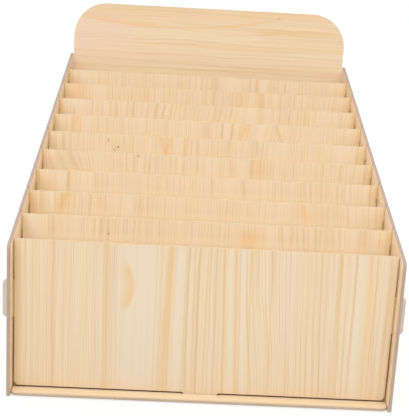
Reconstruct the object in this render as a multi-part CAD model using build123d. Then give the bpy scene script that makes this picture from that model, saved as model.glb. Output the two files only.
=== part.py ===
from build123d import *
import math
import os

# Desk mail organizer, cut from flat board and slotted together.
# Millimetres. The front faces -Y, +Z is up, and the origin is under the middle of the box.

# Driving sizes
BOARD = 3.0
WIDTH = 330.0
FRONT_SETBACK = 12.0
REAR_SETBACK = 12.0
PITCH = 36.0
DIVIDERS = 9
FRONT_HEIGHT = 133.0
SLOPE_DEG = 20.0
BACK_HEIGHT = 330.0

# Gaps between the boards
SIDE_GAP = 1.2
BASE_SIDE_GAP = 0.6
FLOOR_GAP = 1.2
TABLE_GAP = 1.0
SLOT_PLAY = 0.1
FLOOR_SLOT_PLAY = 0.4
TOP_RECESS = 2.5

# Tabs and ears
SIDE_TAB_LENGTH = 33.0
TAB_REACH = 5.7
TAB_CORNER = 3.5
FRONT_TAB_HEIGHT = 83.5
BACK_TAB_HEIGHTS = (83.5, 200.0)
FLOOR_TAB_LENGTH = 30.0
BASE_TAB_LENGTH = 50.0
BASE_TAB_SPACING = 200.0
FLOOR_TAB_RECESS = 0.5
EAR_DEPTH = 13.0

# Rounded corners
KINK_RADIUS = 4.0
FOOT_RADIUS = 1.0
SHOULDER_RADIUS = 9.0
BASE_CORNER = 5.0
LOWER_CORNER = 5.0
UPPER_CORNER = 1.0
BACK_TOP_CORNER = 39.0

# Worked out from the driving sizes
BACK_INDEX = DIVIDERS + 1
DEPTH = FRONT_SETBACK + BACK_INDEX * PITCH + BOARD + REAR_SETBACK
FRONT_Y = -DEPTH / 2
REAR_Y = DEPTH / 2
SIDE_X = WIDTH / 2
INNER_X = SIDE_X - BOARD
CROSS_X = INNER_X - SIDE_GAP
BASE_X = INNER_X - BASE_SIDE_GAP
SLOPE = math.tan(math.radians(SLOPE_DEG))
BASE_TOP = TABLE_GAP + BOARD
CROSS_BOTTOM = BASE_TOP + FLOOR_GAP
FLOOR_TAB_BOTTOM = TABLE_GAP + FLOOR_TAB_RECESS
SLOT_WIDTH = BOARD + 2 * SLOT_PLAY
FLOOR_SLOT_WIDTH = BOARD + 2 * FLOOR_SLOT_PLAY
SIDE_SLOT_LENGTH = SIDE_TAB_LENGTH + 2 * SLOT_PLAY
FLOOR_SLOT_LENGTH = FLOOR_TAB_LENGTH + 2 * FLOOR_SLOT_PLAY
CUT_OVERRUN = 10.0


def slope_height(y):
    """Height of the side panels' sloping edge at a distance y along the depth."""
    return FRONT_HEIGHT + (y - FRONT_Y) * SLOPE


def board_y(index):
    """Middle of the board with this index: 0 is the front panel and BACK_INDEX the back panel."""
    return FRONT_Y + FRONT_SETBACK + index * PITCH + BOARD / 2


def board_top(index):
    """The top edge lies a little below the slope at the middle of the board."""
    return slope_height(board_y(index)) - TOP_RECESS


def cross_plane(index):
    """Drawing plane on the rear face of a cross board; the board is extruded to its front face."""
    return Plane(origin=(0, board_y(index) + BOARD / 2, 0), x_dir=(1, 0, 0), z_dir=(0, -1, 0))


def near(shape_list, x, y):
    """The corner of a flat outline that is closest to a point."""
    return min(shape_list, key=lambda corner: (corner.X - x) ** 2 + (corner.Y - y) ** 2)


def rounded_rectangle(left, right, bottom, top, radii):
    """Flat rectangle; radii are for the lower left, lower right, upper right and upper left corners."""
    corners = ((left, bottom), (right, bottom), (right, top), (left, top))
    face = make_face(Polyline(*corners, close=True))
    for (x, y), radius in zip(corners, radii):
        if radius > 0:
            face = fillet(near(face.vertices(), x, y), radius)
    return face


def side_outline():
    """Outline of a side panel: upright front edge, kink, straight slope, rounded shoulder."""
    corners = (
        (FRONT_Y, 0),
        (FRONT_Y, FRONT_HEIGHT),
        (REAR_Y, slope_height(REAR_Y)),
        (REAR_Y, 0),
    )
    radii = (FOOT_RADIUS, KINK_RADIUS, SHOULDER_RADIUS, FOOT_RADIUS)
    face = make_face(Polyline(*corners, close=True))
    for (x, y), radius in zip(corners, radii):
        face = fillet(near(face.vertices(), x, y), radius)
    return face


def ear_notch(index):
    """Notch in the sloping edge, open at the top, that takes the ear of a divider."""
    bottom = board_top(index) - EAR_DEPTH
    height = EAR_DEPTH + CUT_OVERRUN
    return Pos(board_y(index), bottom + height / 2) * Rectangle(SLOT_WIDTH, height)


def tab_slot(index, height):
    """Closed upright slot that takes a side tab of the front or back panel."""
    return Pos(board_y(index), height) * Rectangle(SLOT_WIDTH, SIDE_SLOT_LENGTH)


def base_notch(y):
    """Notch in the bottom edge that takes a side tab of the base."""
    length = BASE_TAB_LENGTH + 2 * SLOT_PLAY
    height = BASE_TOP + CUT_OVERRUN
    return Pos(y, BASE_TOP - height / 2) * Rectangle(length, height)


def base_tab_places():
    """Places along the depth of the base's side tabs."""
    return (-BASE_TAB_SPACING / 2, BASE_TAB_SPACING / 2)


def side_panel(inner_x, direction):
    """A side panel whose inner face is at inner_x and which grows outwards."""
    face = side_outline()
    for index in range(1, BACK_INDEX):
        face -= ear_notch(index)
    face -= tab_slot(0, FRONT_TAB_HEIGHT)
    for height in BACK_TAB_HEIGHTS:
        face -= tab_slot(BACK_INDEX, height)
    for y in base_tab_places():
        face -= base_notch(y)
    plane = Plane(origin=(inner_x, 0, 0), x_dir=(0, 1, 0), z_dir=(1, 0, 0))
    return extrude(plane * face, amount=direction * BOARD)


def base():
    """The floor of the pockets, with side tabs and one slot for each cross board."""
    face = rounded_rectangle(-BASE_X, BASE_X, FRONT_Y, REAR_Y, (BASE_CORNER,) * 4)
    for y in base_tab_places():
        face += Pos(0, y) * Rectangle(2 * SIDE_X, BASE_TAB_LENGTH)
    for index in range(BACK_INDEX + 1):
        face -= Pos(0, board_y(index)) * Rectangle(FLOOR_SLOT_LENGTH, FLOOR_SLOT_WIDTH)
    return extrude(Plane.XY.offset(TABLE_GAP) * face, amount=BOARD)


def floor_tab():
    """Tab in the middle of a cross board's lower edge, which goes down into the base."""
    half = FLOOR_TAB_LENGTH / 2
    return rounded_rectangle(-half, half, FLOOR_TAB_BOTTOM, CROSS_BOTTOM + LOWER_CORNER, (0,) * 4)


def side_tabs(height):
    """Rounded tabs, one at each end of a board, that go out through the side panels."""
    reach = SIDE_X + TAB_REACH
    half = SIDE_TAB_LENGTH / 2
    return rounded_rectangle(-reach, reach, height - half, height + half, (TAB_CORNER,) * 4)


def ears(index):
    """The upper corners of a divider, which lie in the notches of the side panels."""
    top = board_top(index)
    return rounded_rectangle(-SIDE_X, SIDE_X, top - EAR_DEPTH, top, (0,) * 4)


def panel_face(top, upper_radius):
    """Plain outline of a cross board, with its tab for the base."""
    radii = (LOWER_CORNER, LOWER_CORNER, upper_radius, upper_radius)
    return rounded_rectangle(-CROSS_X, CROSS_X, CROSS_BOTTOM, top, radii) + floor_tab()


def cross_board(face, index):
    """Extrudes an outline to a board at its place along the depth."""
    return extrude(cross_plane(index) * face, amount=BOARD)


def front_panel():
    face = panel_face(board_top(0), UPPER_CORNER) + side_tabs(FRONT_TAB_HEIGHT)
    return cross_board(face, 0)


def divider(index):
    face = panel_face(board_top(index), 0) + ears(index)
    return cross_board(face, index)


def back_panel():
    face = panel_face(BACK_HEIGHT, BACK_TOP_CORNER)
    for height in BACK_TAB_HEIGHTS:
        face += side_tabs(height)
    return cross_board(face, BACK_INDEX)


def all_parts():
    """Every piece under its own name."""
    parts = {
        "side_panel_left": side_panel(-INNER_X, -1),
        "side_panel_right": side_panel(INNER_X, 1),
        "base": base(),
        "front_panel": front_panel(),
        "back_panel": back_panel(),
    }
    for index in range(1, BACK_INDEX):
        parts[f"divider_{index}"] = divider(index)
    return parts


os.makedirs("parts", exist_ok=True)
for name, shape in all_parts().items():
    shape.label = name
    export_step(shape, f"parts/{name}.step")
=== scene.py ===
import math
import bpy
from mathutils import Matrix, Vector


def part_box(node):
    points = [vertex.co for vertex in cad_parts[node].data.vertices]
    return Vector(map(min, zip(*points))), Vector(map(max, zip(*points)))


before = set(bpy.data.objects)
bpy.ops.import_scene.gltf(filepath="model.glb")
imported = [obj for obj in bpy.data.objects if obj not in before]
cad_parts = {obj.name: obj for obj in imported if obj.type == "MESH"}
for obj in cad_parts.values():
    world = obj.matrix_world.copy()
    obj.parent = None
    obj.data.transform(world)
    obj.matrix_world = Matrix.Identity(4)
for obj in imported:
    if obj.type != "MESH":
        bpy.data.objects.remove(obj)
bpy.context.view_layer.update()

# Looks of a desk mail organizer of thin wood-grain boards, a studio and the photograph's camera.
# Lengths are metres, the front faces -Y, +Z is up, and the origin is under the middle of the box.
# The patterns on the boards are worked out in millimetres of the same frame.
MM_PER_METRE = 1000.0

# Places on the boards that scorched and shaded lines and painted light rims follow, in millimetres. X
# counts from the middle.
INNER_X = 162.0
OUTER_X = 165.0
FRONT_EDGE_Y = -193.5
FRONT_PANEL_Y = -181.5
PITCH = 36.0
BASE_TOP_Z = 4.0
CROSS_BOTTOM_Z = 5.2
KINK_Z = 133.0
FRONT_TOP_Z = 135.4
EAR_DEPTH = 13.0
FLOOR_TAB_X = 15.0
FLOOR_SLOT_X = 15.6
SLOPE = math.tan(math.radians(20.0))


def rgb(red, green, blue):
    """Linear colour from the usual 0 to 255 values."""
    def linear(value):
        part = value / 255
        return part / 12.92 if part <= 0.04045 else ((part + 0.055) / 1.055) ** 2.4
    return (linear(red), linear(green), linear(blue), 1.0)


# Wood
PALE = rgb(240, 222, 196)
PEACH = rgb(255, 226, 194)
CREAM = rgb(243, 219, 182)
WARM = rgb(239, 207, 163)
TAN = rgb(222, 184, 134)
AMBER = rgb(237, 193, 129)
ROSE = rgb(240, 208, 184)
STRAW = rgb(236, 214, 164)
OCHRE = rgb(224, 196, 138)
LINE = rgb(212, 177, 118)
# used for painted light below the divider tops, on the side panels and on the base's front strip
BRIGHT = rgb(252, 230, 194)
# painted shade low on the cross boards
OLIVE = rgb(214, 198, 178)
DIM = rgb(208, 184, 150)
KNOT = rgb(150, 98, 52)

# Wear, scorching and painted shade
TOAST = rgb(176, 128, 78)
# scorch and painted shade beside the side panels
SCORCH_AND_SHADE = rgb(164, 118, 66)
BURNT = rgb(126, 76, 20)
# char and painted shade in the gaps at the joints
CHAR_AND_SHADE = rgb(104, 58, 8)
# brown of scorch and of painted shade in the gaps beside the side panels
UMBER_SCORCH_AND_SHADE = rgb(204, 146, 62)
# painted shade at the foot of the cross boards
FOOT_SHADE_TINT = rgb(174, 146, 110)
TIP = rgb(216, 203, 196)


# Brings Blender's noise, from about 0.1 to 0.9, to about -1 to 1 once its middle is taken off
NOISE_MIDDLE = 0.5
NOISE_GAIN = 2.6


class Graph:
    """Adds nodes to a shader tree. An argument is a number, a tuple or another node's output."""

    def __init__(self, tree):
        self.tree = tree

    def join(self, socket, value):
        if isinstance(value, bpy.types.NodeSocket):
            self.tree.links.new(value, socket)
        else:
            socket.default_value = value

    def node(self, kind, settings=(), **inputs):
        """A new node. An underscore in a keyword stands for a space in the input's name."""
        made = self.tree.nodes.new(kind)
        for key, value in dict(settings).items():
            setattr(made, key, value)
        for key, value in inputs.items():
            self.join(made.inputs[key.replace("_", " ")], value)
        return made

    def group(self, tree, **inputs):
        return self.node("ShaderNodeGroup", {"node_tree": tree}, **inputs).outputs

    def math(self, operation, *values, clamp=False):
        made = self.node("ShaderNodeMath", {"operation": operation, "use_clamp": clamp})
        for socket, value in zip(made.inputs, values):
            self.join(socket, value)
        return made.outputs[0]

    def add(self, first, *others):
        total = first
        for value in others:
            total = self.math("ADD", total, value)
        return total

    def mul(self, first, *others):
        total = first
        for value in others:
            total = self.math("MULTIPLY", total, value)
        return total

    def sub(self, a, b):
        return self.math("SUBTRACT", a, b)

    def div(self, a, b):
        return self.math("DIVIDE", a, b)

    def share(self, value, strength, start=0.0):
        """start + value * strength, kept from 0 to 1."""
        return self.math("MULTIPLY_ADD", value, strength, start, clamp=True)

    def squares(self, *values):
        """Sum of the squares."""
        return self.add(*[self.mul(value, value) for value in values])

    def fall_off(self, value):
        """exp(-value): 1 where value is 0, and nearly 0 beyond 4."""
        return self.math("EXPONENT", self.mul(value, -1.0))

    def step(self, value, low, high):
        """Smooth step from 0 at low to 1 at high; low may be the larger of the two."""
        made = self.node("ShaderNodeMapRange", {"interpolation_type": "SMOOTHSTEP"}, Value=value,
                         From_Min=low, From_Max=high, To_Min=0.0, To_Max=1.0)
        return made.outputs[0]

    def vector(self, x, y, z):
        return self.node("ShaderNodeCombineXYZ", X=x, Y=y, Z=z).outputs[0]

    def split(self, vector):
        """The outputs X, Y and Z of a vector."""
        return self.node("ShaderNodeSeparateXYZ", Vector=vector).outputs

    def dot(self, a, b):
        made = self.node("ShaderNodeVectorMath", {"operation": "DOT_PRODUCT"})
        self.join(made.inputs[0], a)
        self.join(made.inputs[1], b)
        return made.outputs["Value"]

    def noise(self, x, y, z, detail=2.0, roughness=0.5):
        """Noise around zero, from about -1 to 1."""
        made = self.node("ShaderNodeTexNoise", {"noise_dimensions": "3D"}, Vector=self.vector(x, y, z),
                         Scale=1.0, Detail=detail, Roughness=roughness)
        return self.mul(self.sub(made.outputs["Fac"], NOISE_MIDDLE), NOISE_GAIN)

    def mix(self, share, a, b):
        """A colour that goes from a to b as share goes from 0 to 1."""
        made = self.node("ShaderNodeMix", {"data_type": "RGBA"})
        share_socket, a_socket, b_socket = made.inputs[0], made.inputs[6], made.inputs[7]
        self.join(share_socket, share)
        self.join(a_socket, a)
        self.join(b_socket, b)
        return made.outputs[2]


def empty_graph(owner):
    """Clears the nodes of a material or world, and gives its graph."""
    owner.use_nodes = True
    owner.node_tree.nodes.clear()
    return Graph(owner.node_tree)


def new_group(name, *labels):
    """An empty node group with number inputs: its graph, and the inputs by their labels."""
    tree = bpy.data.node_groups.new(name, "ShaderNodeTree")
    for label in labels:
        tree.interface.new_socket(label, in_out="INPUT", socket_type="NodeSocketFloat")
    return Graph(tree), tree.nodes.new("NodeGroupInput").outputs


def finish_group(g, values):
    """Gives a node group its outputs, values by their labels, and returns its tree."""
    for label in values:
        g.tree.interface.new_socket(label, in_out="OUTPUT", socket_type="NodeSocketFloat")
    leave = g.tree.nodes.new("NodeGroupOutput").inputs
    for label, value in values.items():
        g.join(leave[label], value)
    return g.tree


def ring_lines(g, place, along, layer, seed):
    """Growth rings of width 1: each darkens softly to a thin line near 0.9 and ends sharply.

    Every ring has a strength of its own, which also changes slowly along the grain.
    """
    ring_start, darkest_from, darkest_to, ring_end = 0.25, 0.88, 0.90, 0.99
    least, chance_change, drift_change = 0.12, 0.80, 0.55
    turn = g.math("FRACT", place)
    ring = g.math("FLOOR", place)
    rise = g.mul(g.step(turn, ring_start, darkest_from), g.step(turn, ring_end, darkest_to))
    line = g.math("POWER", rise, 2.0)
    chance = g.node("ShaderNodeTexWhiteNoise", {"noise_dimensions": "2D"},
                    Vector=g.vector(ring, g.add(layer, seed), 0.0)).outputs["Value"]
    drift = g.noise(g.mul(ring, 1.7), g.mul(along, 0.013), g.add(layer, seed + 3.0), detail=1.0)
    strength = g.share(drift, drift_change, g.add(least, g.mul(chance, chance_change)))
    return g.mul(line, strength)


def build_figure_group():
    """Softwood figure from a place across the grain and one along it, both in millimetres.

    Marked is the place across the grain with only the small waves, for marks that follow the fibres.
    Coarse rings show where the zone value is high, and fine ones where it is low.
    """
    g, given = new_group("Softwood figure", "Across", "Along", "Layer", "Pitch", "Fine Pitch",
                         "Waviness", "Sway", "Fine Zone")
    across, along, layer = given["Across"], given["Along"], given["Layer"]

    def drawn_out(place, across_rate, along_rate, seed, detail=2.0, roughness=0.5):
        """Noise drawn out along the grain. The rates are per millimetre."""
        return g.noise(g.mul(place, across_rate), g.mul(along, along_rate), g.add(layer, seed),
                       detail, roughness)

    broad = drawn_out(across, 0.009, 0.0035, 0.0)
    medium = drawn_out(across, 0.035, 0.012, 11.0)
    small = drawn_out(across, 0.16, 0.065, 17.0)
    wander = g.add(g.mul(broad, 7.0), g.mul(medium, 2.2), g.mul(small, 0.75))
    shifted = g.add(across, g.mul(wander, given["Waviness"]), given["Sway"])
    spread = drawn_out(shifted, 0.03, 0.0, 23.0, detail=1.0)
    jitter = drawn_out(shifted, 0.13, 0.002, 29.0, detail=1.0)
    coarse_place = g.add(g.div(shifted, given["Pitch"]), g.mul(spread, 0.9), g.mul(jitter, 0.42))
    fine_place = g.add(g.div(shifted, given["Fine Pitch"]), g.mul(spread, 1.6), g.mul(jitter, 0.8))
    coarse = ring_lines(g, coarse_place, along, layer, 5.0)
    fine = ring_lines(g, fine_place, along, layer, 31.0)
    zone = g.sub(drawn_out(shifted, 0.024, 0.0015, 41.0, detail=1.0), given["Fine Zone"])
    return finish_group(g, {
        "Marked": g.add(across, g.mul(g.add(medium, small), given["Waviness"])),
        "Tone": drawn_out(shifted, 0.045, 0.0045, 47.0),
        "Lines": g.mul(coarse, g.step(zone, -0.75, 0.25)),
        "Fine Lines": g.mul(fine, g.step(zone, 0.55, -0.45)),
        "Threads": drawn_out(shifted, 0.62, 0.0075, 61.0, detail=1.5),
        "Bands": drawn_out(shifted, 0.17, 0.0050, 67.0, detail=1.0),
        "Hue": drawn_out(shifted, 0.10, 0.0030, 73.0),
        "Fibre": drawn_out(shifted, 1.6, 0.035, 0.0, detail=4.0, roughness=0.62),
        "Pores": g.step(drawn_out(across, 4.5, 0.30, 53.0), 0.45, 0.95),
    })


def build_streak_group():
    """One streak along the grain, straight, leaning or bowed, with soft sides and soft ends."""
    g, given = new_group("Streak", "Across", "Along", "Place", "Width", "Lean", "Bow", "Low", "High",
                         "Strength", "Fade")
    along = given["Along"]
    middle = g.add(given["Place"], g.mul(g.add(given["Lean"], g.mul(given["Bow"], along)), along))
    away = g.div(g.sub(given["Across"], middle), given["Width"])
    start = g.step(g.div(g.sub(along, given["Low"]), given["Fade"]), -1.0, 1.0)
    end = g.step(g.div(g.sub(given["High"], along), given["Fade"]), -1.0, 1.0)
    return finish_group(g, {"Value": g.mul(g.fall_off(g.squares(away)), given["Strength"], start, end)})


def build_crescent_group():
    """A lens of darker wood with one straight and one bulging side, as beside a buried knot."""
    g, given = new_group("Crescent", "Across", "Along", "Place", "Height", "Half Width", "Half Height")
    x = g.div(g.sub(given["Across"], given["Place"]), given["Half Width"])
    y = g.div(g.sub(given["Along"], given["Height"]), given["Half Height"])
    reach = g.math("SQRT", g.squares(x, y))
    body = g.mul(g.step(reach, 1.12, 0.72), g.add(0.75, g.mul(g.math("ABSOLUTE", y), 0.4)))
    rim = g.mul(g.fall_off(g.squares(g.div(g.sub(reach, 0.82), 0.16))), 0.18)
    flat_side = g.step(x, -0.20, 0.42)
    return finish_group(g, {"Value": g.mul(flat_side, g.add(body, rim))})


def build_knot_group():
    """A pin knot: a small dark spot in a faint halo, both drawn out along the grain."""
    g, given = new_group("Pin knot", "Across", "Along", "Place", "Height", "Radius")
    x = g.div(g.sub(given["Across"], given["Place"]), given["Radius"])
    y = g.div(g.sub(given["Along"], given["Height"]), g.mul(given["Radius"], 1.5))
    square = g.squares(x, y)
    halo = g.mul(g.fall_off(g.mul(square, 0.08)), 0.12)
    return finish_group(g, {"Value": g.add(g.fall_off(square), halo)})


FIGURE = build_figure_group()
STREAK = build_streak_group()
CRESCENT = build_crescent_group()
PIN_KNOT = build_knot_group()


def streak_total(g, across, along, marks, fade=4.0):
    """Sum of a list of streaks whose ends fade over twice this length, or 0 where the list is empty."""
    values = [
        g.group(STREAK, Across=across, Along=along, Place=place, Width=width, Lean=lean, Bow=bow,
                Low=span[0], High=span[1], Strength=strength, Fade=fade)["Value"]
        for place, width, strength, lean, bow, span in marks
    ]
    return g.add(*values) if values else 0.0


# How far the figures of a board's two faces lie apart in the noise
REAR_LAYER = 7.3

# How strongly each layer of the figure changes the wood's colour
TONE_MIDDLE = 0.45
TONE_CHANGE = 0.42
ROSE_CHANGE = 0.76
STRAW_CHANGE = 0.70
BAND_CHANGE = 0.42
THREAD_DARKENING = 0.62
THREAD_PALING = 0.85
FIBRE_CHANGE = 0.16
PORE_CHANGE = 0.10
CALM_IN_PALE = 0.75

# Tints of the marks, from the lowest layer to the uppermost
MARK_TINTS = {"bright": BRIGHT, "blush": ROSE, "ochre": OCHRE, "tan": TAN, "amber": AMBER}

# Painted light and shade on the cross boards. A pair is where the change starts and where it is full, in
# mm.
FOOT_SHADE_RISE = 9.0
FOOT_SHADE_STRENGTH = 0.46
PAINTED_LIGHT_BELOW_TOP = (-11.0, -20.0)
PAINTED_LOW_SHADE_HEIGHTS = (95.0, 10.0)

# Painted light along the rim of the side panels, as distances from the edge in mm
RIM_LIGHT_DISTANCES = (15.0, 5.0)
RIM_LIGHT_STRENGTH = 0.60

# Scorching of the cross boards, partly painted shade of the gaps and creases: lengths in mm, strengths
# from 0 to 1
SIDE_LINE_INSET = 0.4
SIDE_LINE_WIDTH = 0.7
SIDE_LINE_STRENGTH = 0.70
BESIDE_EAR = (-EAR_DEPTH - 1.0, -EAR_DEPTH + 3.0)
FOOT_HEIGHTS = (CROSS_BOTTOM_Z + 0.6, CROSS_BOTTOM_Z + 0.2)
FOOT_STRENGTH = 0.65
BESIDE_TAB = (FLOOR_TAB_X, FLOOR_TAB_X + 0.5)
OUTSIDE_BOX = (OUTER_X - 0.2, OUTER_X + 0.2)
TIP_STRENGTH = 0.85

# Scorching and painted gap shade of the side panels and the base: lengths in mm, strengths from 0 to 1
LEAD = 2.0
BAND_BEFORE = 0.3
BAND_FULL = 0.2
FULL_SHARE = 0.5
INSIDE_BOX = (INNER_X + 0.3, INNER_X)
BELOW_EAR = (-3.0, 2.0)
BELOW_TOP = (0.0, 1.0)
COVERED_STRENGTH = 0.08
SLOT_SPOT_BEFORE = 0.4
SLOT_SPOT_STRENGTH = 0.9

# Cut edges. A pair is where a change starts and where it is full: of the normal's part through the
# board, of the normal's Z, or of a length in mm.
CUT_NORMAL = (0.96, 0.80)
UPWARD_NORMAL = (0.3, 0.8)
NOT_UPWARD_NORMAL = (0.7, 0.2)
OUTER_HALF = (-0.6, 0.9)
BASE_UPPER_PART = (2.3, 3.9)
BASE_UPPER_STRENGTH = 0.7
GRIT_RATE = 2.1
GRIT_MIDDLE = 0.5
GRIT_CHANGE = 0.45
SMEAR_RATE = 0.045
SMEAR_LEAST = 0.15
SMEAR_CHANGE = 0.25

# Worn edges: how far wear reaches from an edge, and the cosine between the rounded and the true normal
# where it starts and where it is full
EDGE_RADIUS_M = 0.0011
WORN_COSINES = (0.999, 0.80)
WEAR_MIDDLE = 0.30
WEAR_CHANGE = 0.35

# Surface
ROUGHNESS = 0.47
FIBRE_ROUGHNESS = 0.05
RING_ROUGHNESS = -0.06
WORN_ROUGHNESS = 0.12
CUT_ROUGHNESS = 0.36
GLOSS = 0.4
GLOSS_LOST = 0.38
FIBRE_RELIEF = 0.30
RING_RELIEF = 0.5
PORE_RELIEF = -0.5
GRIT_RELIEF = 1.4
RELIEF_STRENGTH = 0.5
RELIEF_M = 0.00006


class BoardWood:
    """Material of one board: wood figure on its two faces and a cut edge all round."""

    def __init__(self, name, seed, look):
        self.look = look
        self.material = bpy.data.materials.new(f"{name} wood")
        self.g = g = empty_graph(self.material)
        coords = g.tree.nodes.new("ShaderNodeTexCoord").outputs
        place = g.node("ShaderNodeVectorMath", {"operation": "SCALE"},
                       Vector=coords["Object"], Scale=MM_PER_METRE)
        self.place = g.split(place.outputs[0])
        self.normal = g.split(coords["Normal"])
        self.from_centre = g.math("ABSOLUTE", self.place["X"])
        self.set_directions(name)
        self.figure = self.add_figure(seed)
        self.grit = self.even_noise(GRIT_RATE, detail=4.0, roughness=0.7)
        self.smear = self.even_noise(SMEAR_RATE)

    def even_noise(self, rate, **kind):
        """Noise with the same rate per millimetre in all directions."""
        return self.g.noise(*[self.g.mul(part, rate) for part in self.place], **kind)

    def set_directions(self, name):
        """Places across and along the grain, and through the board outwards from its middle.

        rear is 1 on the board's half towards +X, +Y or +Z, and shown is the share of the marks that
        a place shows.
        """
        g, face, grain = self.g, self.look["face"], self.look["grain"]
        across_axis = ({"X", "Y", "Z"} - {face, grain}).pop()
        self.across = self.place[across_axis]
        self.along = g.sub(self.place[grain], self.look["pivot"])
        low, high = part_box(name)
        axis = "XYZ".index(face)
        middle = (low[axis] + high[axis]) / 2 * MM_PER_METRE
        self.outward = g.mul(g.sub(self.place[face], middle), 1.0 if middle > 0 else -1.0)
        self.rear = g.math("GREATER_THAN", self.place[face], middle)
        self.shown = g.sub(1.0, g.mul(self.rear, 1.0 - self.look["rear_marks"]))

    def add_figure(self, seed):
        """Outputs of the softwood figure, with the look's leaning and busy zones."""
        g, look = self.g, self.look
        sway = g.mul(streak_total(g, self.across, 0.0, look["sway"]), self.along)
        fine_zone = g.mul(streak_total(g, self.across, self.along, look["busy"]), self.shown)
        return g.group(FIGURE, Across=self.across, Along=self.along,
                       Layer=g.add(seed, g.mul(self.rear, REAR_LAYER)), Pitch=look["pitch"],
                       Fine_Pitch=look["fine"], Waviness=look["wave"], Sway=sway, Fine_Zone=fine_zone)

    def figured_wood(self):
        """Base colour with soft bands, threads and growth rings, which pale streaks calm."""
        g, look, figure = self.g, self.look, self.figure
        pale = g.share(streak_total(g, figure["Marked"], self.along, look["pale"]), self.shown)
        calm = g.sub(1.0, g.mul(pale, CALM_IN_PALE))
        colour = g.mix(g.share(figure["Tone"], TONE_CHANGE, TONE_MIDDLE), CREAM, PALE)
        colour = g.mix(look["warmth"], colour, WARM)
        colour = g.mix(look["dim"], colour, DIM)
        colour = g.mix(g.share(figure["Hue"], ROSE_CHANGE), colour, ROSE)
        colour = g.mix(g.share(figure["Hue"], -STRAW_CHANGE), colour, STRAW)
        colour = g.mix(g.share(figure["Bands"], BAND_CHANGE), colour, WARM)
        colour = g.mix(g.mul(calm, g.share(figure["Threads"], THREAD_DARKENING)), colour, TAN)
        colour = g.mix(g.share(figure["Threads"], -THREAD_PALING), colour, PALE)
        colour = g.mix(g.mul(figure["Fine Lines"], calm, look["fine_depth"]), colour, LINE)
        colour = g.mix(g.mul(figure["Lines"], calm, look["depth"]), colour, LINE)
        return g.mix(pale, colour, PALE)

    def crescents(self):
        """Strength of each of the look's crescents at a place."""
        g = self.g
        values = []
        for place, height, half_width, half_height, strength in self.look["crescents"]:
            shape = g.group(CRESCENT, Across=self.across, Along=self.along, Place=place, Height=height,
                            Half_Width=half_width, Half_Height=half_height)
            values.append(g.mul(shape["Value"], strength))
        return values

    def add_marks(self, colour):
        """Tinted streaks, crescents and pin knots, with fibres and pores over them."""
        g, look, figure = self.g, self.look, self.figure
        for key, tint in MARK_TINTS.items():
            total = streak_total(g, figure["Marked"], self.along, look[key], look["fade"])
            if key == "amber":
                total = g.add(total, *self.crescents())
            colour = g.mix(g.share(total, self.shown), colour, tint)
        for place, height, radius in look["knots"]:
            knot = g.group(PIN_KNOT, Across=self.across, Along=self.along, Place=place, Height=height,
                           Radius=radius)
            colour = g.mix(g.mul(knot["Value"], self.shown), colour, KNOT)
        colour = g.mix(g.mul(g.math("ABSOLUTE", figure["Fibre"]), FIBRE_CHANGE), colour, WARM)
        return g.mix(g.mul(figure["Pores"], PORE_CHANGE), colour, TAN)

    def add_painted_light_and_shade(self, colour):
        """Painted shade at a cross board's foot, painted light below a divider's top edge and painted
        shade that makes it duller low down.
        """
        g, height = self.g, self.place["Z"]
        rise = g.math("MAXIMUM", g.div(g.sub(height, BASE_TOP_Z), FOOT_SHADE_RISE), 0.0)
        # Painted shade at the foot, where the board meets the base
        colour = g.mix(g.mul(g.fall_off(rise), FOOT_SHADE_STRENGTH), colour, FOOT_SHADE_TINT)
        # Painted light below a divider's top edge, where its pocket is shaded
        colour = g.mix(g.mul(g.step(self.along, *PAINTED_LIGHT_BELOW_TOP), self.look["lift"]), colour, BRIGHT)
        # Painted shade: duller towards the bottom
        return g.mix(g.mul(g.step(height, *PAINTED_LOW_SHADE_HEIGHTS), self.look["settle"]), colour, OLIVE)

    def wear(self):
        """How worn a place is: beside an edge the rounded normal turns away from the true one."""
        g = self.g
        rounded = g.node("ShaderNodeBevel", {"samples": 4}, Radius=EDGE_RADIUS_M).outputs[0]
        true_normal = g.tree.nodes.new("ShaderNodeNewGeometry").outputs["True Normal"]
        near_edge = g.step(g.dot(rounded, true_normal), *WORN_COSINES)
        return g.mul(near_edge, g.share(self.smear, WEAR_CHANGE, WEAR_MIDDLE))

    def cut_edge(self):
        """Colour of the bare cut edge, and how charred it is on its sides and underneath."""
        g, look = self.g, self.look
        core = g.mix(g.share(self.grit, GRIT_CHANGE, GRIT_MIDDLE), look["core_dark"], look["core"])
        core = g.mix(g.share(self.smear, SMEAR_CHANGE, SMEAR_LEAST), core, look["core_light"])
        outer_half = g.step(self.outward, *OUTER_HALF)
        core = g.mix(g.mul(outer_half, look["outer_share"]), core, look["core_outer"])
        # Edges that face up are darker: painted shade where the light from above falls on them
        upward = g.step(self.normal["Z"], *UPWARD_NORMAL)
        core = g.mix(g.mul(upward, look["top_share"]), core, look["core_top"])
        charred = g.mul(g.step(self.normal["Z"], *NOT_UPWARD_NORMAL), look["burnt"])
        core = g.mix(charred, core, BURNT)
        if look["face"] == "Z":
            upper_part = g.step(self.place["Z"], *BASE_UPPER_PART)
            core = g.mix(g.mul(upper_part, BASE_UPPER_STRENGTH), core, CREAM)
        return core, charred

    def scorch_and_shade_cross_board(self, colour):
        """Scorched lines, partly painted shade of the gaps and creases, where a cross board meets the
        sides and the base, and the tips of its tabs.
        """
        g = self.g
        # A dark line beside each side panel: scorch, and painted shade of the gap below the ear and of
        # the crease beside it
        from_line = g.div(g.sub(self.from_centre, INNER_X - SIDE_LINE_INSET), SIDE_LINE_WIDTH)
        beside_ear = g.step(self.along, *BESIDE_EAR)
        strength = g.sub(SIDE_LINE_STRENGTH, g.mul(beside_ear, self.look["ear_calm"]))
        colour = g.mix(g.mul(g.fall_off(g.squares(from_line)), strength), colour, SCORCH_AND_SHADE)
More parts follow.
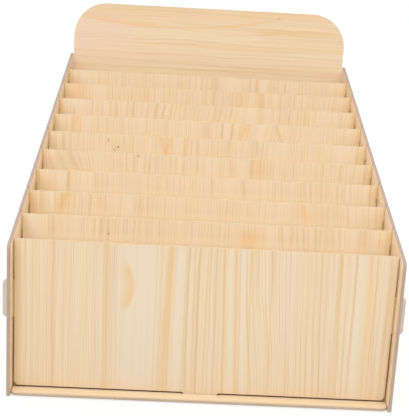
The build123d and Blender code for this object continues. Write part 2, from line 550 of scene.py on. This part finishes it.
        # A dark foot beyond the tab: scorch, and painted shade of the gap above the base
        foot = g.mul(g.step(self.place["Z"], *FOOT_HEIGHTS), g.step(self.from_centre, *BESIDE_TAB))
        colour = g.mix(g.mul(foot, FOOT_STRENGTH), colour, CHAR_AND_SHADE)
        outside = g.step(self.from_centre, *OUTSIDE_BOX)
        return g.mix(g.mul(outside, TIP_STRENGTH), colour, TIP)

    def joint_scorch_and_shade(self):
        """Scorching and painted shade of the gap, in a band on a side panel or the base at each cross
        board, 0 to 1.

        Bands repeat with the pitch, and LEAD is how far before a board's front face its turn starts.
        On a side panel a band is full beside the board and faint beside its ear.
        """
        g, look = self.g, self.look
        turns = g.div(g.sub(self.place["Y"], FRONT_PANEL_Y - LEAD), PITCH)
        index = g.math("FLOOR", turns)
        in_turn = g.mul(g.math("FRACT", turns), PITCH)
        start = LEAD + look["joint_start"]
        full_until = start + look["joint_reach"] * FULL_SHARE
        end = start + look["joint_reach"]
        band = g.mul(g.step(in_turn, start - BAND_BEFORE, start + BAND_FULL),
                     g.step(in_turn, end, full_until))
        inside = g.step(self.from_centre, *INSIDE_BOX)
        board_top = g.add(FRONT_TOP_Z, g.mul(index, PITCH * SLOPE))
        below_top = g.sub(board_top, self.place["Z"])
        ear = g.mul(g.math("MINIMUM", index, 1.0), EAR_DEPTH)
        open_gap = g.step(g.sub(below_top, ear), *BELOW_EAR)
        covered = g.mul(g.step(below_top, *BELOW_TOP), COVERED_STRENGTH)
        scorch_and_shade = g.mul(band, inside, look["joint_strength"], g.math("MAXIMUM", open_gap, covered))
        # A dark spot at each slot in the base: scorch and painted shade in the slot
        if look["face"] == "Z":
            slot_x = g.sub(self.from_centre, FLOOR_SLOT_X)
            slot_y = g.sub(in_turn, LEAD - SLOT_SPOT_BEFORE)
            spot = g.fall_off(g.squares(slot_x, slot_y))
            scorch_and_shade = g.math("MAXIMUM", scorch_and_shade, g.mul(spot, SLOT_SPOT_STRENGTH))
        return scorch_and_shade

    def painted_light_rim(self, colour):
        """Painted light: a side panel is paler along its upright front edge and its slope, where its
        inner face gets little light.
        """
        g = self.g
        from_front = g.sub(self.place["Y"], FRONT_EDGE_Y)
        from_slope = g.sub(g.add(KINK_Z, g.mul(from_front, SLOPE)), self.place["Z"])
        rim = g.step(g.math("MINIMUM", from_front, from_slope), *RIM_LIGHT_DISTANCES)
        return g.mix(g.mul(rim, RIM_LIGHT_STRENGTH), colour, PEACH)

    def build(self):
        """Joins all layers and returns the finished material."""
        g, look, figure = self.g, self.look, self.figure
        colour = self.add_marks(self.figured_wood())
        if look["face"] == "Y":
            colour = self.add_painted_light_and_shade(colour)
        wear = self.wear()
        colour = g.mix(g.mul(wear, look["toast"]), colour, TOAST)
        core, charred = self.cut_edge()
        cut = g.step(g.math("ABSOLUTE", self.normal[look["face"]]), *CUT_NORMAL)
        burnt_places = [g.mul(cut, charred)] if look["burnt"] > 0 else []
        if look["face"] == "X":
            colour = self.painted_light_rim(colour)
        if look["face"] == "Y":
            colour = self.scorch_and_shade_cross_board(colour)
        else:
            # Scorch and painted gap shade on the side panels and the base
            scorch_and_shade = self.joint_scorch_and_shade()
            colour = g.mix(scorch_and_shade, colour, look["joint_tint"])
            burnt_places.append(scorch_and_shade)
        colour = g.mix(cut, colour, core)

        gloss_left = GLOSS
        for burnt in burnt_places:
            gloss_left = g.sub(gloss_left, g.mul(burnt, GLOSS_LOST))
        roughness = g.add(ROUGHNESS, g.mul(figure["Fibre"], FIBRE_ROUGHNESS),
                          g.mul(figure["Lines"], RING_ROUGHNESS), g.mul(wear, WORN_ROUGHNESS))
        relief = g.add(g.mul(figure["Fibre"], FIBRE_RELIEF), g.mul(figure["Lines"], RING_RELIEF),
                       g.mul(figure["Pores"], PORE_RELIEF))
        height = g.add(g.mul(relief, g.sub(1.0, cut)), g.mul(self.grit, cut, GRIT_RELIEF))
        bump = g.node("ShaderNodeBump", Height=height, Strength=RELIEF_STRENGTH, Distance=RELIEF_M)
        shader = g.node("ShaderNodeBsdfPrincipled", Base_Color=colour,
                        Roughness=g.share(cut, CUT_ROUGHNESS, roughness),
                        Specular_IOR_Level=gloss_left, Normal=bump.outputs[0])
        g.node("ShaderNodeOutputMaterial", Surface=shader.outputs[0])
        return self.material


# Colours of the cut edges. core_outer is for the half of the edge that faces away from the middle of the
# box, and the top colour for edges that face up, each by the share that follows it; the top colour is a
# painted shade, darker where the light from above falls on the edges. burnt chars the other edges.
SIDE_CORE = {
    "core": rgb(200, 171, 147), "core_dark": rgb(172, 142, 118), "core_light": rgb(214, 192, 174),
    "core_outer": rgb(188, 174, 165), "outer_share": 0.60,
    "core_top": rgb(172, 152, 142), "top_share": 0.75,
    "burnt": 0.0,
}
TOP_CORE = {
    "core": rgb(242, 216, 176), "core_dark": rgb(230, 198, 154), "core_light": rgb(248, 230, 198),
    "core_outer": rgb(242, 216, 176), "outer_share": 0.0,
    "core_top": rgb(217, 191, 153), "top_share": 1.0,
    "burnt": 0.90,
}
BASE_CORE = {
    "core": rgb(208, 186, 160), "core_dark": rgb(172, 144, 120), "core_light": rgb(224, 206, 184),
    "core_outer": rgb(208, 186, 160), "outer_share": 0.0,
    "core_top": rgb(208, 186, 160), "top_share": 0.0,
    "burnt": 0.0,
}

# Usual values of a look. pitch and fine are the widths of the coarse and fine growth rings in mm,
# depth and fine_depth say how dark they are, wave how much they wander, and warmth how warm the wood is.
# On the side panels and the base, joint_start and joint_reach are where a band of scorch and painted gap
# shade starts behind a cross board's front face and how long it is, in mm, and joint_strength and
# joint_tint how strong it is and its colour.
USUAL_LOOK = {
    "face": "Y",         # axis through the board
    "grain": "Z",        # axis along the grain
    "pivot": 0.0,        # place along the grain that marks count from, in mm
    "fade": 4.0,         # a tinted streak's end fades over twice this length, in mm
    "toast": 0.5,        # browning of worn edges
    "dim": 0.0,          # share of DIM all over
    # painted light in a divider's shaded pocket
    "lift": 0.0,         # share of BRIGHT below a divider's top edge
    # painted shade low on a cross board
    "settle": 0.0,       # share of OLIVE low on a cross board
    # the side line is scorch and painted shade of the gap and crease
    "ear_calm": 0.0,     # how much weaker the scorched side line is beside an ear
    "rear_marks": 0.0,   # share of the marks that shows on the rear face
    "sway": (),          # streaks of rings that lean, by strength mm for each mm along the grain
    "busy": (),          # streaks where fine rings take the place of coarse ones
    "pale": (),          # streaks by the names of their tints
    "bright": (),
    "blush": (),
    "ochre": (),
    "tan": (),
    "amber": (),
    "crescents": (),     # place, height, half width, half height, strength
    "knots": (),         # place, height, radius
}

# Beyond the end of every board, in mm
FAR = 500.0


def streak(place, width, strength, lean=0.0, span=(-FAR, FAR), bow=0.0):
    """Place and width across the grain in mm. The streak drifts sideways by lean * v + bow * v * v,
    where v is the place along the grain from the board's pivot, and fades beyond its span of v."""
    return (place, width, strength, lean, bow, span)


def make_look(core, **given):
    """A board's look: the colours of its cut edge and what is given, over the usual values."""
    return {**USUAL_LOOK, **core, **given}


def divider_look(number, **given):
    """Heights in a divider's marks count from its top edge. Painted light brightens the front dividers
    most below it, and painted shade darkens both ends beside the side panels.
    """
    top_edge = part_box(f"divider_{number}")[1].z * MM_PER_METRE
    # painted light below the top edge, less for each divider further back
    front_painted_light, painted_light_lost = 0.5, 0.035
    # painted shade at both ends, beside the side panels
    painted_end_shade = (streak(-162.5, 4.5, 0.42, -0.16), streak(162.5, 5.0, 0.40, 0.16))
    return make_look(TOP_CORE, depth=0.56, fine_depth=0.52, pivot=top_edge,
                     lift=front_painted_light - painted_light_lost * number, ear_calm=0.45, ochre=painted_end_shade, **given)


def side_look(painted_light, joint_reach, joint_strength):
    """The side panels differ only in their painted light, a broad paler zone, and in the scorching and
    painted shade at the gaps.
    """
    return make_look(
        SIDE_CORE, face="X", grain="Y", pitch=6.5, fine=2.8, wave=0.9, warmth=0.12, depth=0.6,
        fine_depth=0.45, toast=0.9, rear_marks=1.0,
        joint_start=0.0, joint_reach=joint_reach, joint_strength=joint_strength, joint_tint=UMBER_SCORCH_AND_SHADE,
        # a broad painted light over the side panel, whose inner face gets little light
        bright=(streak(130, 200, painted_light),),
        amber=(streak(66, 2.4, 0.50, 0.06, bow=0.0004), streak(60, 1.4, 0.35, 0.06, (-80, FAR), 0.0004),
               streak(158, 2.2, 0.45, 0.14, (-60, FAR), 0.0003)),
        tan=(streak(34, 1.6, 0.50, 0.02), streak(112, 1.4, 0.45, 0.09),
             streak(206, 1.4, 0.45, 0.17, (0, FAR))),
        pale=(streak(88, 8.0, 0.60, 0.07), streak(16, 6.0, 0.45),
              streak(182, 8.0, 0.50, 0.15, (-20, FAR))),
        knots=((52.0, 96.0, 1.1),),
    )


FRONT_LOOK = make_look(
    TOP_CORE, pitch=5.6, fine=2.05, wave=0.55, warmth=0.06, depth=0.64, fine_depth=0.68, settle=0.13,
    sway=(streak(38, 26, 0.070), streak(100, 40, 0.03)),
    busy=(streak(-117, 34, 1.1), streak(64, 20, 0.9), streak(10, 30, -0.6), streak(125, 35, -0.5)),
    amber=(streak(-32.5, 2.6, 0.54, 0.02), streak(-36.5, 2.0, 0.35, 0.03, (-10, 80)),
           streak(-127, 1.2, 0.25, 0.0, (0, 90)), streak(-83.8, 2.2, 0.36), streak(0.9, 0.8, 0.30),
           streak(19.2, 1.8, 0.40, -0.039), streak(29.8, 1.8, 0.48, -0.039),
           streak(41.8, 0.9, 0.62, -0.040), streak(58.5, 0.8, 0.30, 0.0, (5, 60)),
           streak(74, 0.8, 0.35, 0.0, (10, 45)), streak(115.5, 1.3, 0.46, -0.020),
           streak(141.5, 3.2, 0.36, -0.020)),
    # the ochre streaks at -160.5 and 161.5 are painted shade beside the side panels
    ochre=(streak(-160.5, 5.0, 0.72), streak(-17, 1.1, 0.45), streak(161.5, 3.0, 0.36)),
    bright=(streak(60, 50, 0.14),),
    tan=(streak(-128, 1.5, 0.45), streak(-84.5, 1.8, 0.28), streak(-30, 0.6, 0.5),
         streak(-8, 0.9, 0.42, -0.015), streak(11, 1.0, 0.42, -0.021), streak(33, 0.8, 0.38, -0.040),
         streak(57.5, 0.6, 0.42, -0.015), streak(112, 1.6, 0.3), streak(126.6, 0.9, 0.48, -0.005),
         streak(147.5, 0.8, 0.48, -0.030)),
    pale=(streak(-66, 9, 0.45), streak(-51, 12, 0.65), streak(-22, 4.5, 0.85), streak(-98, 3, 0.3),
          streak(24.5, 1.8, 0.65, -0.033), streak(36, 2.6, 0.78, -0.050), streak(131, 4.5, 0.68, -0.010),
          streak(151, 2.0, 0.40, -0.020)),
    crescents=((-69.8, 98.6, 10.0, 21.5, 0.58),),
)

# From divider 1, next to the front panel, to divider 9
DIVIDER_LOOKS = (
    dict(pitch=6.5, fine=2.3, wave=0.6, warmth=0.20,
         busy=(streak(-20, 60, 0.7), streak(120, 40, -0.7)),
         sway=(streak(85, 50, 0.10),),
         amber=(streak(37, 8.5, 0.60, 0.0, (-60, -6)), streak(37, 7.0, 0.35, 0.0, (-60, -16)),
                streak(-128, 2.0, 0.35), streak(140, 1.6, 0.4)),
         tan=(streak(-134, 1.4, 0.6), streak(74, 1.2, 0.5), streak(99, 1.2, 0.5), streak(134, 1.2, 0.45)),
         pale=(streak(-150, 8.0, 0.6), streak(-118, 7.0, 0.35), streak(55, 6.0, 0.45)),
         knots=((-86.5, -14.2, 0.55), (-86.5, -19.0, 0.35))),
    dict(pitch=6.5, fine=2.6, wave=0.7, warmth=0.24,
         busy=(streak(0, 60, 0.9),),
         sway=(streak(115, 45, 0.12),),
         amber=(streak(-128, 4.0, 0.7, 0.30), streak(86, 2.4, 0.5, -0.25), streak(-98, 2.0, 0.35),
                streak(-160, 4, 0.3)),
         tan=(streak(110, 1.2, 0.45), streak(-62, 1.2, 0.45)),
         pale=(streak(-72, 4.0, 0.5), streak(-142, 4.0, 0.5), streak(68, 8.0, 0.4))),
    dict(pitch=6.5, fine=2.0, wave=0.7, warmth=0.16,
         busy=(streak(-20, 70, 0.8),),
         sway=(streak(35, 30, 0.15), streak(120, 40, 0.08)),
         amber=(streak(-151, 6.0, 0.3, 0.0, (-60, -12)),),
         tan=(streak(-131, 1.6, 0.5), streak(33, 1.8, 0.5, -0.15), streak(-100, 1.2, 0.3)),
         pale=(streak(-139, 4.0, 0.35), streak(20, 7.0, 0.35), streak(-116, 5.0, 0.35))),
    dict(pitch=7.0, fine=2.8, wave=0.8, warmth=0.10,
         busy=(streak(-90, 40, 0.5), streak(130, 30, 0.4)),
         sway=(streak(-134, 20, 0.5),),
         amber=(streak(51, 7.0, 0.40),),
         tan=(streak(-136, 3.0, 0.5, -0.45), streak(43, 1.5, 0.5), streak(22, 1.2, 0.35)),
         pale=(streak(6, 6.0, 0.55), streak(36, 4.0, 0.5), streak(-108, 3.0, 0.4)),
         knots=((-68.0, -1.6, 0.5),)),
    dict(pitch=7.0, fine=2.4, wave=0.8, warmth=0.04,
         busy=(streak(-110, 40, 0.8), streak(100, 40, 0.5)),
         amber=(streak(-49, 3.2, 0.5, -0.40, (-40, 5)), streak(-37, 2.8, 0.45, 0.40, (-40, 5)),
                streak(-21, 1.6, 0.5, 0.08)),
         tan=(streak(46, 1.2, 0.3),),
         pale=(streak(76, 5.0, 0.45), streak(139, 9.0, 0.5), streak(-58, 4.0, 0.45),
               streak(-29, 4.0, 0.4)),
         knots=((-91.0, -12.7, 0.65), (-101.5, -5.8, 0.5), (-95.5, -15.2, 0.4), (-93.0, -15.5, 0.3))),
    dict(pitch=7.0, fine=2.6, wave=0.9, warmth=0.04,
         busy=(streak(-60, 50, 0.5), streak(130, 40, 0.6)),
         sway=(streak(60, 40, -0.2),),
         amber=(streak(-139, 2.8, 0.45, 0.12), streak(41, 4.0, 0.5, 0.35)),
         tan=(streak(72, 1.8, 0.5, -0.35), streak(0, 1.3, 0.3)),
         pale=(streak(-71, 6.0, 0.35), streak(57, 7.0, 0.6), streak(-127, 5.0, 0.4))),
    dict(pitch=7.0, fine=2.8, wave=0.9, warmth=0.10,
         busy=(streak(120, 40, 0.6),),
         sway=(streak(0, 60, -0.15),),
         amber=(streak(57, 2.0, 0.45),),
         tan=(streak(-146, 1.2, 0.5, 0.0, (-60, -8)), streak(9, 1.3, 0.35, 0.1)),
         pale=(streak(-144, 12.0, 0.6), streak(47, 8.0, 0.6), streak(64, 4.0, 0.4))),
    dict(pitch=7.0, fine=2.6, wave=0.8, warmth=0.26,
         busy=(streak(-90, 40, 0.3), streak(120, 50, 0.7)),
         amber=(streak(-147, 8.0, 0.45), streak(36, 3.0, 0.35), streak(59, 2.8, 0.65, -0.1)),
         tan=(streak(-71, 1.2, 0.5), streak(6, 3.0, 0.3)),
         pale=(streak(-122, 7.0, 0.45), streak(49, 3.0, 0.35))),
    dict(pitch=7.0, fine=2.6, wave=0.8, warmth=0.24,
         busy=(streak(-100, 50, 0.7), streak(110, 50, 0.5)),
         amber=(streak(-31, 1.6, 0.35),),
         tan=(streak(57, 1.3, 0.5), streak(90, 1.2, 0.35), streak(9, 4, 0.3)),
         pale=(streak(30, 13.0, 0.5), streak(65, 3.5, 0.65), streak(-140, 10, 0.35))),
)

# Lean and bow of the long streak near the back panel's top edge
ARCH = {"lean": 0.0968, "bow": 0.000886}

BACK_LOOK = make_look(
    SIDE_CORE, grain="X", pitch=6.0, fine=2.4, wave=0.9, warmth=0.18, depth=0.42, fine_depth=0.30,
    fade=14.0, dim=0.15, rear_marks=1.0,
    blush=(streak(292, 40, 0.50, 0.0, (-FAR, -90)),),
    amber=(streak(308.6, 1.3, 0.50, span=(-175, 92), **ARCH),
           streak(311.5, 2.2, 0.35, span=(-175, -60), **ARCH),
           streak(322, 7.0, 0.24, 0.0, (-130, 60)), streak(328, 5.0, 0.25, 0.0, (40, 140)),
           streak(304, 2.6, 0.45, 0.02, (58, 150)), streak(287, 2.0, 0.30, 0.0, (-70, 0)),
           streak(214, 2.4, 0.45, 0.03, bow=-0.0003), streak(96, 2.2, 0.50, -0.03, bow=0.0004),
           streak(88, 1.4, 0.35, -0.03, (-60, FAR), 0.0004)),
    tan=(streak(299.0, 1.0, 0.25, 0.05, (10, 90), 0.0004), streak(264, 1.2, 0.4, -0.02),
         streak(170, 1.5, 0.50, 0.02), streak(132, 1.2, 0.40, -0.01), streak(50, 1.6, 0.50, -0.02)),
    pale=(streak(298, 5.0, 0.40, 0.03, (-175, 60), 0.0004), streak(280, 3.0, 0.3),
          streak(190, 9.0, 0.60, 0.02), streak(112, 8.0, 0.60, -0.02), streak(28, 7.0, 0.45)),
    knots=((323.0, 80.5, 0.36), (150.0, -62.0, 1.1)),
)

BASE_LOOK = make_look(
    BASE_CORE, face="Z", grain="X", pitch=6.0, fine=2.6, wave=0.9, warmth=0.06, depth=0.4,
    fine_depth=0.35, rear_marks=1.0,
    joint_start=0.9, joint_reach=2.6, joint_strength=1.0, joint_tint=CHAR_AND_SHADE,
    # painted light on the base's front strip, which the front panel shades
    bright=(streak(-190, 11.0, 0.60),),
    amber=(streak(-187.5, 1.2, 0.25, 0.004), streak(-192.6, 0.8, 0.20, -0.003)),
    pale=(streak(-190.0, 1.0, 0.30, 0.004),),
)

# The order sets each board's seed
LOOKS = {"front_panel": FRONT_LOOK}
for number, given in enumerate(DIVIDER_LOOKS, start=1):
    LOOKS[f"divider_{number}"] = divider_look(number, **given)
LOOKS["back_panel"] = BACK_LOOK
LOOKS["base"] = BASE_LOOK
LOOKS["side_panel_left"] = side_look(painted_light=0.30, joint_reach=4.0, joint_strength=0.90)
LOOKS["side_panel_right"] = side_look(painted_light=0.20, joint_reach=1.8, joint_strength=0.60)

SEED_STEP = 13.7
EASED_EDGE_M = 0.00022
WELD_DISTANCE_M = 0.000005
SHARP_DEGREES = 35


def smooth_edges(board):
    """Takes the razor edge off a board, as sanding does."""
    weld = board.modifiers.new("Weld", "WELD")
    weld.merge_threshold = WELD_DISTANCE_M
    bevel = board.modifiers.new("Eased edges", "BEVEL")
    bevel.width = EASED_EDGE_M
    bevel.segments = 2
    bevel.limit_method = "ANGLE"
    bevel.angle_limit = math.radians(SHARP_DEGREES)
    bevel.use_clamp_overlap = True
    board.modifiers.new("Weighted normals", "WEIGHTED_NORMAL").keep_sharp = False


for number, (name, look) in enumerate(LOOKS.items(), start=1):
    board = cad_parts[name]
    board.data.materials.clear()
    board.data.materials.append(BoardWood(name, SEED_STEP * number, look).build())
    smooth_edges(board)


# Studio
FLOOR_HALF_M = 40.0
FLOOR_GREY = (0.32, 0.32, 0.32, 1.0)
WHITE = (1.0, 1.0, 1.0, 1.0)
FLOOR_GLOW = 0.76
HORIZON_LIGHT = 0.37
ZENITH_LIGHT = 0.64

# Name, the way the light goes, width in degrees, strength
SOFTBOXES = (
    ("Front softbox", (0.10, 1.0, -0.66), 60, 1.09),
    ("Left front softbox", (0.95, 0.95, -0.60), 50, 0.58),
    ("Right front softbox", (-0.95, 0.95, -0.60), 50, 0.54),
    ("Left rear softbox", (0.9, -0.45, -0.78), 60, 0.95),
    ("Right rear softbox", (-0.9, -0.45, -0.78), 60, 0.95),
    ("Rear softbox", (0.0, -1.0, -0.35), 50, 0.35),
)

# The camera fitted to the photograph, with angles in radians
IMAGE_HEIGHT_PX = 416
FOCAL_PX = 889.808
CAMERA_PLACE = (-0.024021, -0.899270, 0.330445)
CAMERA_PITCH = 0.220398131
CAMERA_YAW = 0.026731698
CAMERA_ROLL = -0.054828995
SENSOR_MM = 36.0


def add_object(name, data):
    made = bpy.data.objects.new(name, data)
    bpy.context.scene.collection.objects.link(made)
    return made


def seen_directly(g):
    """1 for the camera, for reflections and through glass, 0 for light that falls on the object."""
    path = g.tree.nodes.new("ShaderNodeLightPath").outputs
    mirrored = g.math("MAXIMUM", path["Is Glossy Ray"], path["Is Transmission Ray"])
    return g.math("MAXIMUM", path["Is Camera Ray"], mirrored)


def make_floor():
    """Seen directly it is nearly white, with the object's shadow; to the object it is a mid grey."""
    half = FLOOR_HALF_M
    corners = [(-half, -half, 0), (half, -half, 0), (half, half, 0), (-half, half, 0)]
    mesh = bpy.data.meshes.new("Floor")
    mesh.from_pydata(corners, [], [(0, 1, 2, 3)])
    material = bpy.data.materials.new("Studio floor")
    g = empty_graph(material)
    seen = seen_directly(g)
    plain = g.node("ShaderNodeBsdfDiffuse", Color=g.mix(seen, FLOOR_GREY, WHITE))
    glow = g.node("ShaderNodeEmission", Color=WHITE, Strength=1.0)
    mixer = g.node("ShaderNodeMixShader")
    share_socket, plain_socket, glow_socket = mixer.inputs
    g.join(share_socket, g.mul(seen, FLOOR_GLOW))
    g.join(plain_socket, plain.outputs[0])
    g.join(glow_socket, glow.outputs[0])
    g.node("ShaderNodeOutputMaterial", Surface=mixer.outputs[0])
    mesh.materials.append(material)
    add_object("Floor", mesh)


def make_world():
    """Soft light from all round, stronger from above; white where it is seen directly."""
    world = bpy.data.worlds.new("Studio")
    bpy.context.scene.world = world
    g = empty_graph(world)
    direction = g.split(g.tree.nodes.new("ShaderNodeTexCoord").outputs["Generated"])
    upward = g.math("MAXIMUM", direction["Z"], 0.0)
    level = g.add(HORIZON_LIGHT, g.mul(upward, ZENITH_LIGHT - HORIZON_LIGHT))
    strength = g.add(level, g.mul(seen_directly(g), g.sub(1.0, level)))
    light = g.node("ShaderNodeBackground", Color=WHITE, Strength=strength)
    g.node("ShaderNodeOutputWorld", Surface=light.outputs[0])


def make_softbox(name, towards, width, strength):
    """A far, very wide lamp, which lights the whole floor evenly."""
    data = bpy.data.lights.new(name, "SUN")
    data.angle = math.radians(width)
    data.energy = strength
    lamp = add_object(name, data)
    lamp.rotation_euler = Vector(towards).to_track_quat("-Z", "Y").to_euler()


def make_camera():
    """Camera at the photograph's place. The sensor lies along the longer side, the image's height."""
    pitch, yaw, roll = CAMERA_PITCH, CAMERA_YAW, CAMERA_ROLL
    forward = Vector((math.sin(yaw) * math.cos(pitch), math.cos(yaw) * math.cos(pitch), -math.sin(pitch)))
    level_right = Vector((math.cos(yaw), -math.sin(yaw), 0))
    level_down = forward.cross(level_right)
    right = math.cos(roll) * level_right + math.sin(roll) * level_down
    down = math.cos(roll) * level_down - math.sin(roll) * level_right
    turn = Matrix((right, -down, -forward)).transposed()
    data = bpy.data.cameras.new("Camera")
    data.sensor_fit = "AUTO"
    data.sensor_width = SENSOR_MM
    data.lens = FOCAL_PX / IMAGE_HEIGHT_PX * SENSOR_MM
    camera = add_object("Camera", data)
    camera.matrix_world = Matrix.Translation(Vector(CAMERA_PLACE)) @ turn.to_4x4()
    bpy.context.scene.camera = camera


make_floor()
make_world()
for softbox in SOFTBOXES:
    make_softbox(*softbox)
make_camera()
bpy.context.scene.view_settings.view_transform = "Standard"
